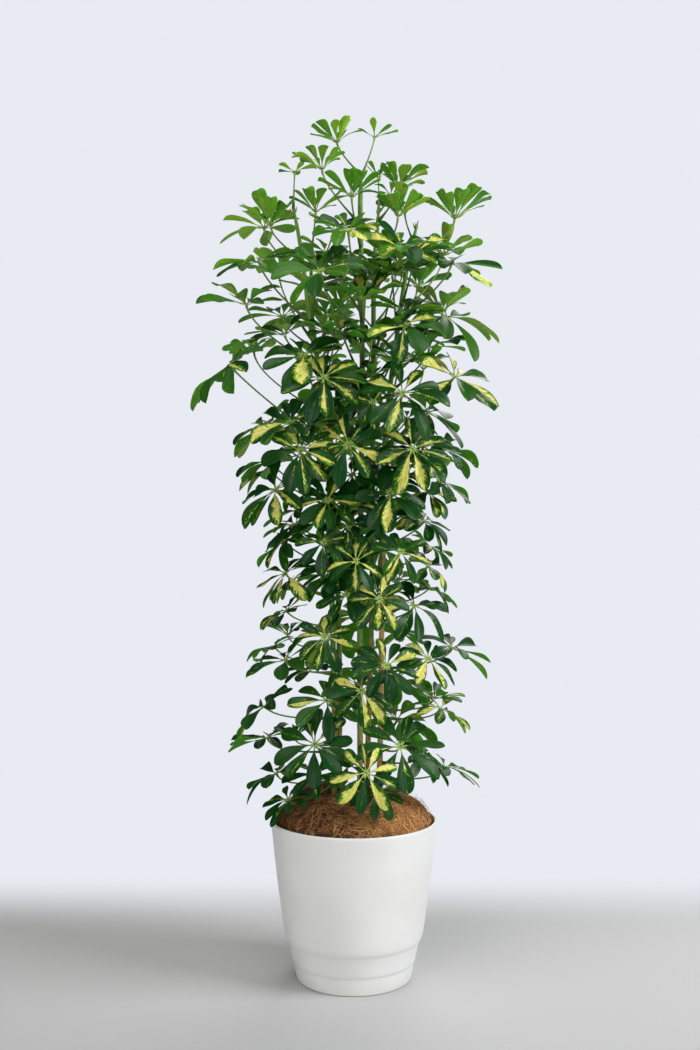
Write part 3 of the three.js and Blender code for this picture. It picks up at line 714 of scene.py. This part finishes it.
def add_stem(parts, path, draw):
    """The stem itself, with a low ring at each old leaf scar and a bud at its tip."""
    line = smooth_path(path, STEM_STEPS)
    radii = line[:, 3] * STEM_SHARE
    shares = np.linspace(0, 1, STEM_STEPS)
    for scar in [draw.uniform(0.0, 1.0) for _ in range(STEM_SCARS)]:
        radii = radii * (1 + SCAR_RISE * np.exp(-((shares - scar) / SCAR_WIDTH) ** 2))
    radii[-3:] *= np.array(STEM_END)
    shape, faces = tube(line[:, :3], radii, STEM_SIDES)
    height = np.repeat((line[:, 2] - BARK_FROM) / BARK_SPAN, STEM_SIDES)
    parts.add(shape, faces, bark=np.stack([height * 0 + 1, height, height * 0 + draw.random()], axis=1))
    add_bud(parts, line[-3, :3], draw)


def add_bud(parts, tip, draw):
    """The bud at a stem's tip: a few pointed scales that stand up round it."""
    turn = draw.uniform(0, 2 * math.pi)
    for i in range(BUD_SCALES):
        angle = turn + 2 * math.pi * i / BUD_SCALES
        out = np.array([math.cos(angle), math.sin(angle), 0])
        end = tip + out * draw.uniform(*BUD_SPREADS) + np.array([0, 0, draw.uniform(*BUD_RISES)])
        points = bezier(tip, tip + out * 4 + np.array([0, 0, 4]), end, len(BUD_RADII))
        shape, faces = tube(points, BUD_RADII, 6)
        parts.add(shape, faces, bark=np.tile((0, 0.9, 0.5), (len(shape), 1)))


def stand_for(piece, slot, *nodes):
    """The piece rides on the object and hides the frame nodes it stands for; the slot is not used."""
    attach(piece, "root")
    if nodes:
        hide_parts(*nodes)
    return piece


class Nodes:
    """Small helpers for writing a material's node tree."""

    def __init__(self, name):
        self.material = bpy.data.materials.new(name)
        self.material.use_nodes = True
        self.tree = self.material.node_tree
        self.shader = self.tree.nodes["Principled BSDF"]

    def put(self, socket, value):
        if isinstance(value, bpy.types.NodeSocket):
            self.tree.links.new(value, socket)
        elif isinstance(value, tuple) and len(value) == 3 and socket.type == "RGBA":
            socket.default_value = (*value, 1)
        else:
            socket.default_value = value

    def attribute(self, name):
        node = self.tree.nodes.new("ShaderNodeAttribute")
        node.attribute_name = name
        return node

    def split(self, vector):
        node = self.tree.nodes.new("ShaderNodeSeparateXYZ")
        self.put(node.inputs[0], vector)
        return node.outputs

    def join(self, x, y, z):
        node = self.tree.nodes.new("ShaderNodeCombineXYZ")
        for socket, value in zip(node.inputs, (x, y, z)):
            self.put(socket, value)
        return node.outputs[0]

    def math(self, operation, *values):
        node = self.tree.nodes.new("ShaderNodeMath")
        node.operation = operation
        for socket, value in zip(node.inputs, values):
            self.put(socket, value)
        return node.outputs[0]

    def plus(self, first, second):
        return self.math("ADD", first, second)

    def minus(self, first, second):
        return self.math("SUBTRACT", first, second)

    def times(self, first, second):
        return self.math("MULTIPLY", first, second)

    def swing(self, noise, reach):
        """A noise from 0 to 1, made to swing to both sides of zero."""
        return self.times(self.minus(noise, 0.5), reach)

    def noise(self, vector, scale, detail=2.0, roughness=0.5):
        node = self.tree.nodes.new("ShaderNodeTexNoise")
        self.put(node.inputs["Vector"], vector)
        node.inputs["Scale"].default_value = scale
        node.inputs["Detail"].default_value = detail
        node.inputs["Roughness"].default_value = roughness
        return node.outputs["Fac"]

    def step(self, value, low, high):
        node = self.tree.nodes.new("ShaderNodeMapRange")
        node.interpolation_type = "SMOOTHSTEP"
        self.put(node.inputs["Value"], value)
        self.put(node.inputs["From Min"], low)
        self.put(node.inputs["From Max"], high)
        return node.outputs["Result"]

    def span(self, value, pair):
        """A step over a pair of distances in millimetres."""
        return self.step(value, pair[0] * MM, pair[1] * MM)

    def mix(self, share, first, second):
        node = self.tree.nodes.new("ShaderNodeMix")
        node.data_type = "RGBA"
        self.put(node.inputs["Factor"], share)
        self.put(node.inputs["A"], first)
        self.put(node.inputs["B"], second)
        return node.outputs["Result"]

    def position(self):
        return self.tree.nodes.new("ShaderNodeNewGeometry").outputs["Position"]

    def finish(self, colour, roughness):
        self.put(self.shader.inputs["Base Color"], colour)
        self.put(self.shader.inputs["Roughness"], roughness)

    def bump(self, height, strength, distance):
        node = self.tree.nodes.new("ShaderNodeBump")
        self.put(node.inputs["Height"], height)
        node.inputs["Strength"].default_value = strength
        node.inputs["Distance"].default_value = distance
        self.put(self.shader.inputs["Normal"], node.outputs["Normal"])


def linear(red, green, blue):
    """A colour given as it looks on screen, from 0 to 255, for the shader."""
    def one(value):
        value /= 255
        return value / 12.92 if value <= 0.04045 else ((value + 0.055) / 1.055) ** 2.4
    return (one(red), one(green), one(blue))


LEAF_DARK, LEAF_LIGHT = linear(2, 55, 14), linear(74, 134, 10)
HALO_DARK, HALO_LIGHT = linear(98, 142, 26), linear(160, 188, 34)
CREAM, CREAM_GREEN = linear(216, 205, 116), linear(174, 180, 68)
RIB = linear(112, 150, 66)
# The undersides: paler green of their own, brightened further as painted light shining through the leaf
UNDER_DARK, UNDER_LIGHT = linear(68, 146, 28), linear(150, 200, 56)
UNDER_CREAM = linear(160, 184, 68)
STALKLET_GREEN = linear(146, 170, 88)
BARK_DARK, BARK_LIGHT = linear(160, 120, 70), linear(226, 186, 122)
GREEN_DARK, GREEN_LIGHT = linear(60, 110, 26), linear(122, 168, 60)
STALK_FOOT, STALK_END = linear(72, 100, 34), linear(118, 150, 60)
POT_SHADE, POT_WHITE, POT_FOOT_TONE = linear(219, 219, 217), linear(226, 226, 225), linear(206, 200, 186)
SOIL_DARK, SOIL_LIGHT = linear(38, 27, 19), linear(84, 62, 42)
COIR_DARK, COIR_BROWN, COIR_STRAW = linear(76, 43, 21), linear(182, 126, 72), linear(236, 182, 114)
STUDIO_WHITE = linear(232, 235, 242)
# The floor's grey, darker near the front and paler at the back as painted light
FLOOR_NEAR, FLOOR_FAR = linear(174, 174, 174), linear(190, 190, 190)

# The leaf's veins: how far they slant, how densely they run, and the half width of the midrib
VEIN_SLANT = 0.26
SIDE_VEINS = 66.0
RIB_HALF = 0.06


def leaf_material():
    """Waxy leaves: dark green above with a toothed cream flame along the midrib, paler beneath, and
    brightened there by painted light shining through the leaf.
    """
    n = Nodes("leaf")
    along, across, lean = n.split(n.attribute("leaflet").outputs["Vector"])
    reach, light, chance = n.split(n.attribute("tone").outputs["Vector"])
    under = n.attribute("under").outputs["Fac"]
    side = n.math("ABSOLUTE", across)
    hand = n.math("SIGN", across)
    row = n.plus(n.times(chance, 60.0), n.times(hand, 3.0))
    vein = n.minus(along, n.times(side, VEIN_SLANT))

    # How far the cream and the lime halo round it reach across the leaflet
    teeth = n.noise(n.join(n.times(vein, 15.0), side, row), 1.0, 3.0, 0.75)
    broad = n.noise(n.join(n.times(along, 3.5), 0.0, row), 1.0, 1.0)
    streak = n.noise(n.join(n.times(vein, 13.0), n.times(side, 2.2), row), 1.0, 2.0, 0.5)
    even = n.plus(n.plus(reach, n.times(lean, hand)), n.swing(broad, 1.3))
    edge = n.minus(n.plus(even, n.swing(teeth, 1.5)), n.times(n.step(along, 0.72, 1.0), 0.55))
    edge = n.math("MINIMUM", edge, n.plus(0.72, n.times(teeth, 0.4)))
    flame = n.times(n.step(n.minus(edge, side), -0.01, 0.05), n.step(streak, 0.3, 0.37))
    halo = n.step(n.plus(n.minus(even, side), n.swing(streak, 3.0)), -0.14, 0.04)

    # The colours of both sides and of the stalklet
    rib = n.step(side, RIB_HALF, 0.0)
    dark = n.mix(light, LEAF_DARK, LEAF_LIGHT)
    upper = n.mix(n.times(halo, 0.75), dark, n.mix(light, HALO_DARK, HALO_LIGHT))
    upper = n.mix(flame, upper, n.mix(n.step(streak, 0.62, 0.36), CREAM, CREAM_GREEN))
    upper = n.mix(n.times(rib, 0.14), upper, RIB)
    # Beneath: partly the leaf's own paler underside, partly painted light shining through it
    beneath = n.mix(light, UNDER_DARK, UNDER_LIGHT)
    beneath = n.mix(n.times(n.math("MAXIMUM", flame, halo), 0.7), beneath, UNDER_CREAM)
    colour = n.mix(n.step(along, 0.17, 0.12), n.mix(under, upper, beneath), STALKLET_GREEN)
    n.finish(colour, n.plus(0.4, n.times(under, 0.25)))
    n.shader.inputs["Specular IOR Level"].default_value = 0.2
    ribs = n.math("SINE", n.times(vein, SIDE_VEINS))
    n.bump(n.minus(n.times(ribs, 0.25), n.times(rib, 1.2)), 0.2, 0.0006)
    return n.material


def bark_material():
    """Stems and leaf stalks: tan bark low down, green above, with fine lengthwise cracks."""
    n = Nodes("bark")
    stem, height, chance = n.split(n.attribute("bark").outputs["Vector"])
    where = n.position()
    x, y, z = n.split(where)
    cracks = n.noise(n.join(n.times(x, 6.0), n.times(y, 6.0), z), 110.0, 3.0, 0.65)
    blotch = n.noise(where, 34.0, 2.0)
    age = n.plus(height, n.swing(blotch, 0.9))
    tan = n.mix(n.step(cracks, 0.35, 0.65), BARK_DARK, BARK_LIGHT)
    green = n.mix(n.step(cracks, 0.3, 0.7), GREEN_DARK, GREEN_LIGHT)
    older = n.plus(age, n.times(n.minus(0.5, chance), 0.9))
    woody = n.mix(n.step(older, 0.25, 0.6), tan, green)
    stalk = n.mix(height, STALK_FOOT, STALK_END)
    n.finish(n.mix(stem, stalk, woody), 0.55)
    n.bump(n.times(cracks, stem), 0.5, 0.0008)
    return n.material


def pot_material():
    """Matte warm white plastic, with a fine moulded grain, slightly darker and browner near the foot."""
    n = Nodes("pot_plastic")
    where = n.position()
    height = n.split(where)[2]
    cloud = n.noise(where, 9.0, 3.0)
    grain = n.noise(where, 1400.0, 2.0)
    colour = n.mix(n.step(cloud, 0.3, 0.75), POT_SHADE, POT_WHITE)
    # Darker and browner towards the foot, over its lowest 30 mm
    darker_foot = n.times(n.step(height, 0.03, 0.0), 0.25)
    n.finish(n.mix(darker_foot, colour, POT_FOOT_TONE), n.plus(0.46, n.times(cloud, 0.12)))
    n.bump(grain, 0.12, 0.0003)
    return n.material


def soil_material():
    """Dark crumbly potting mix."""
    n = Nodes("potting_mix")
    where = n.position()
    crumbs = n.noise(where, 160.0, 4.0, 0.7)
    n.finish(n.mix(n.step(crumbs, 0.35, 0.7), SOIL_DARK, SOIL_LIGHT), 0.95)
    n.bump(crumbs, 0.9, 0.003)
    return n.material


def coir_material():
    """Coconut fibre, from dark to straw brown strand by strand, and darker on the left with painted shade.
    """
    n = Nodes("coir_fibre")
    strand, _, _ = n.split(n.attribute("strand").outputs["Vector"])
    where = n.position()
    patch = n.noise(where, 26.0, 2.0)
    tint = n.plus(strand, n.swing(patch, 0.9))
    # Painted shade: the fibre's tint is lowered towards the left side of the heap
    left_painted_shade = n.step(n.split(where)[0], 0.09, -0.13)
    tint = n.minus(tint, n.times(n.minus(left_painted_shade, 0.35), 0.5))
    dark = n.mix(n.step(tint, 0.05, 0.5), COIR_DARK, COIR_BROWN)
    n.finish(n.mix(n.step(tint, 0.5, 1.0), dark, COIR_STRAW), 0.8)
    return n.material


def revolve(profile, sides):
    """A closed lathed shape from a [radius, height] profile that starts and ends on the axis."""
    points, rings, faces = [], [], []
    for radius, height in profile:
        if radius == 0:
            rings.append([len(points)])
            points.append((0, 0, height))
            continue
        rings.append(list(range(len(points), len(points) + sides)))
        for k in range(sides):
            angle = 2 * math.pi * k / sides
            points.append((radius * math.cos(angle), radius * math.sin(angle), height))
    for low, high in zip(rings, rings[1:]):
        for k in range(sides):
            after = (k + 1) % sides
            foot = [low[k % len(low)], low[after % len(low)]]
            head = [high[after % len(high)], high[k % len(high)]]
            faces.append(tuple(dict.fromkeys(foot + head)))
    return np.array(points, float), faces


def make_pot(material):
    """The pot, with its drain holes cut through the floor."""
    parts = MeshParts()
    parts.add(*revolve(POT_OUTSIDE + POT_INSIDE, POT_SIDES))
    pot = parts.build("pot_shell", material)
    drills = MeshParts()
    for i in range(DRAIN_HOLES):
        angle = 2 * math.pi * i / DRAIN_HOLES
        centre = np.array([DRAIN_CIRCLE * math.cos(angle), DRAIN_CIRCLE * math.sin(angle), 0])
        path = [centre + (0, 0, height) for height in DRILL_HEIGHTS]
        drills.add(*tube(path, [DRAIN_RADIUS] * len(path), DRILL_SIDES))
    drill = drills.build("drill", material)
    cut = pot.modifiers.new("drain", "BOOLEAN")
    cut.object = drill
    cut.solver = "EXACT"
    graph = bpy.context.evaluated_depsgraph_get()
    pot.data = bpy.data.meshes.new_from_object(pot.evaluated_get(graph))
    pot.modifiers.clear()
    bpy.data.objects.remove(drill)
    return stand_for(pot, "pot", "pot")


def coir_height(x, y):
    """The height of the coir heap's top at a place."""
    radius = np.hypot(x, y)
    radii, heights = zip(*reversed(COIR_HEAP))
    lump = np.sin(x / 19 + 1) * np.cos(y / 23) + 0.6 * np.sin(x / 41 - y / 29)
    away = np.hypot(x - MOUND["side"], y - MOUND["depth"]) / MOUND["radius"]
    raised = COIR_LUMP * lump + MOUND["height"] * np.exp(-away ** 2)
    return np.interp(radius, radii, heights) + raised * (radius < COIR_REACH)


def strand_tint(tint, count):
    """The tint of a strand, at each of its points."""
    return np.tile((tint, 0, 0), (count, 1))


def make_coir_bed(material):
    """The matted body of the coir."""
    radii = np.linspace(0, BED_RADIUS, BED_ROWS)[1:]
    profile = [[0, BED_FOOT], [COIR_REACH, BED_FOOT]] + [[radius, 0] for radius in radii[::-1]] + [[0, 0]]
    points, faces = revolve(profile, BED_SIDES)
    draw = random.Random(SEED)
    for i, (x, y, z) in enumerate(points):
        if z == 0:
            points[i, 2] = coir_height(x, y) - BED_SUNK + draw.uniform(-BED_ROUGH, BED_ROUGH)
    parts = MeshParts()
    # The bed's low tint is painted shade in the gaps between the fibres
    parts.add(points, faces, strand=strand_tint(BED_TINT, len(points)))
    return stand_for(parts.build("coir_bed", material), "coir", "coir_mulch")


def coir_fibre(draw, place, heading, length, steps, lift, reach):
    """The points of a fibre that curls over the coir's top, lifted off it towards its middle or its end."""
    x, y = place
    bend = draw.choice((-1, 1)) * draw.uniform(*FIBRE_BENDS)
    depth = draw.uniform(*FIBRE_DEPTHS)
    loose = reach > COIR_REACH
    points = []
    for k in range(steps + 1):
        share = k / steps
        turn = heading + bend * share
        if k:
            x += length / steps * math.cos(turn)
            y += length / steps * math.sin(turn)
        out = math.hypot(x, y)
        if out > reach:
            x, y = x * reach / out, y * reach / out
        arch = share if loose else math.sin(math.pi * share)
        points.append((x, y, float(coir_height(x, y)) + depth + lift * arch))
    return points


def make_coir_fibres(material):
    """Coarse fibres, matted over the coir's top."""
    draw = random.Random(SEED + 1)
    parts = MeshParts()
    for _ in range(COIR_FIBRES):
        radius = FIBRE_RADIUS * draw.random() ** FIBRE_OUTWARDS
        angle = draw.uniform(0, 2 * math.pi)
        place = (radius * math.cos(angle), radius * math.sin(angle))
        lift = draw.uniform(0, 1) ** 2 * FIBRE_LIFT * (1 - (radius / FIBRE_LIFT_RADIUS) ** 6)
        length = draw.uniform(*FIBRE_LENGTHS)
        heading = draw.uniform(0, 2 * math.pi)
        if radius > RING_FIBRES:
            heading = angle + draw.choice((-1, 1)) * math.pi / 2 + draw.uniform(*RING_SWINGS)
        reach = min(COIR_REACH, radius + draw.uniform(*FIBRE_SPREADS))
        points = coir_fibre(draw, place, heading, length, FIBRE_STEPS, lift, reach)
        thick = 0.27 + 0.55 * draw.random() ** 1.7
        radii = [thick * 0.6] + [thick] * (FIBRE_STEPS - 1) + [thick * 0.4]
        shape, faces = tube(points, radii, FIBRE_SIDES)
        tint = min(max(draw.gauss(0.5, 0.3), 0), 1)
        parts.add(shape, faces, strand=strand_tint(tint, len(shape)))
    return stand_for(parts.build("coir_fibres", material), "coir")


def make_coir_strays(material):
    """Thin fibres that spring off the heap, most of them over its sides and its mound."""
    draw = random.Random(SEED + 2)
    parts = MeshParts()
    for i in range(COIR_STRAYS):
        radius = draw.uniform(*STRAY_RING)
        angle = draw.uniform(0, 2 * math.pi)
        place = (radius * math.cos(angle), radius * math.sin(angle))
        if i % MOUND_STRAYS == 0:
            place = tuple(MOUND[axis] + draw.gauss(0, MOUND_SPREAD) for axis in ("side", "depth"))
        heading = math.atan2(place[1], place[0]) + draw.uniform(*STRAY_SWINGS)
        length = draw.uniform(*STRAY_LENGTHS)
        lift = draw.uniform(*STRAY_LIFTS)
        points = coir_fibre(draw, place, heading, length, STRAY_STEPS, lift, STRAY_REACH)
        thick = draw.uniform(*STRAY_RADII)
        shape, faces = tube(points, [thick] * STRAY_STEPS + [thick * 0.5], FIBRE_SIDES)
        tint = draw.uniform(*STRAY_TINTS)
        parts.add(shape, faces, strand=strand_tint(tint, len(shape)))
    return stand_for(parts.build("coir_strays", material), "coir")


def make_leafy_stem(name, index, leaf_look, bark_look):
    """A stem with its stalks, and its leaves, in place of the frame's leafy stem."""
    blades, wood = MeshParts(), MeshParts()
    add_stem(wood, STEMS[name], random.Random(SEED + index))
    for leaf in stem_leaves(name, index):
        draw = random.Random(LEAF_SEED + leaf["seed"])
        height = leaf["hub"][2]
        leaf["young"] = height > YOUNG_HEIGHT
        risen = share_within(LIGHT_HEIGHTS, height)
        leaf["light"] = LIGHT_TOP * risen ** LIGHT_POWER + LIGHT_MORE * draw.random()
        add_stalk(wood, leaf)
        share = FINE_SHARES["young" if leaf["length"] < YOUNG_LENGTH else "grown"]
        for heading, length in spread_leaflets(leaf["seed"], leaf["length"], share):
            add_leaflet(blades, leaf, heading, kept_within(leaf, heading, length), draw)
    stand_for(wood.build(f"stem_{name}", bark_look), "leaf", f"leafy_stem_{name}")
    stand_for(blades.build(f"leaves_{name}", leaf_look), "leaf", f"leafy_stem_{name}")


def make_floor():
    """A plain pale floor that fades into the studio's white behind the pot, and far off on every side."""
    parts = MeshParts()
    far = FLOOR_HALF
    parts.add([(-far, -far, 0), (far, -far, 0), (far, far, 0), (-far, far, 0)], [(0, 1, 2, 3)])
    n = Nodes("floor")
    side, depth, _ = n.split(n.position())
    away = n.math("SQRT", n.plus(n.times(side, side), n.times(depth, depth)))
    path = n.tree.nodes.new("ShaderNodeLightPath")
    edge = n.times(n.span(away, FLOOR_EDGE), path.outputs["Is Camera Ray"])
    fade = n.math("MAXIMUM", n.span(depth, FLOOR_FADE), edge)
    # Painted light: the floor's colour turns paler from front to back
    back = n.span(depth, FLOOR_DEPTHS)
    n.finish(n.mix(back, FLOOR_NEAR, FLOOR_FAR), 0.7)
    glow = n.tree.nodes.new("ShaderNodeEmission")
    n.put(glow.inputs["Color"], STUDIO_WHITE)
    blend = n.tree.nodes.new("ShaderNodeMixShader")
    n.put(blend.inputs[0], fade)
    n.put(blend.inputs[1], n.shader.outputs[0])
    n.put(blend.inputs[2], glow.outputs[0])
    n.put(n.tree.nodes["Material Output"].inputs["Surface"], blend.outputs[0])
    parts.build("floor", n.material)


def make_lamp(name, place, aim, size, power, colour):
    """A square area lamp that the camera doesn't see."""
    light = bpy.data.lights.new(name, "AREA")
    light.size = size
    light.energy = power
    light.color = colour
    lamp = bpy.data.objects.new(name, light)
    lamp.location = place
    lamp.rotation_euler = (Vector(aim) - Vector(place)).to_track_quat("-Z", "Y").to_euler()
    lamp.visible_camera = False
    bpy.context.scene.collection.objects.link(lamp)


def make_studio():
    """White surroundings that light the plant gently, a large soft key on the right and three fills."""
    world = bpy.data.worlds.new("studio")
    world.use_nodes = True
    tree = world.node_tree
    seen = tree.nodes["Background"]
    seen.inputs["Color"].default_value = (*STUDIO_WHITE, 1)
    lit = tree.nodes.new("ShaderNodeBackground")
    lit.inputs["Color"].default_value = (*STUDIO_WHITE, 1)
    lit.inputs["Strength"].default_value = AMBIENT
    path = tree.nodes.new("ShaderNodeLightPath")
    blend = tree.nodes.new("ShaderNodeMixShader")
    tree.links.new(path.outputs["Is Camera Ray"], blend.inputs[0])
    tree.links.new(lit.outputs[0], blend.inputs[1])
    tree.links.new(seen.outputs[0], blend.inputs[2])
    tree.links.new(blend.outputs[0], tree.nodes["World Output"].inputs["Surface"])
    bpy.context.scene.world = world
    bpy.context.scene.view_settings.view_transform = "Standard"
    for name, lamp in LAMPS.items():
        make_lamp(name, *lamp)


def make_camera():
    """The photograph's camera, level and shifted up to its horizon."""
    camera = bpy.data.cameras.new("camera")
    camera.sensor_width = SENSOR
    camera.lens = FOCAL_PIXELS / FRAME_HEIGHT * SENSOR
    camera.shift_y = (HORIZON - FRAME_HEIGHT / 2) / FRAME_HEIGHT
    camera.clip_end = 100
    holder = bpy.data.objects.new("camera", camera)
    holder.location = (CAMERA_SIDE * MM, -CAMERA_DISTANCE * MM, CAMERA_HEIGHT * MM)
    holder.rotation_euler = (math.pi / 2, 0, 0)
    bpy.context.scene.collection.objects.link(holder)
    bpy.context.scene.camera = holder


def dress_soil(material):
    """The soil keeps the frame's own shape."""
    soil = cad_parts["potting_soil"]
    soil.data.materials.clear()
    soil.data.materials.append(material)


make_camera()
make_studio()
make_floor()
make_pot(pot_material())
dress_soil(soil_material())
coir_look = coir_material()
make_coir_bed(coir_look)
make_coir_fibres(coir_look)
make_coir_strays(coir_look)
leaf_look, bark_look = leaf_material(), bark_material()
for stem_index, stem_name in enumerate(STEMS):
    make_leafy_stem(stem_name, stem_index, leaf_look, bark_look)
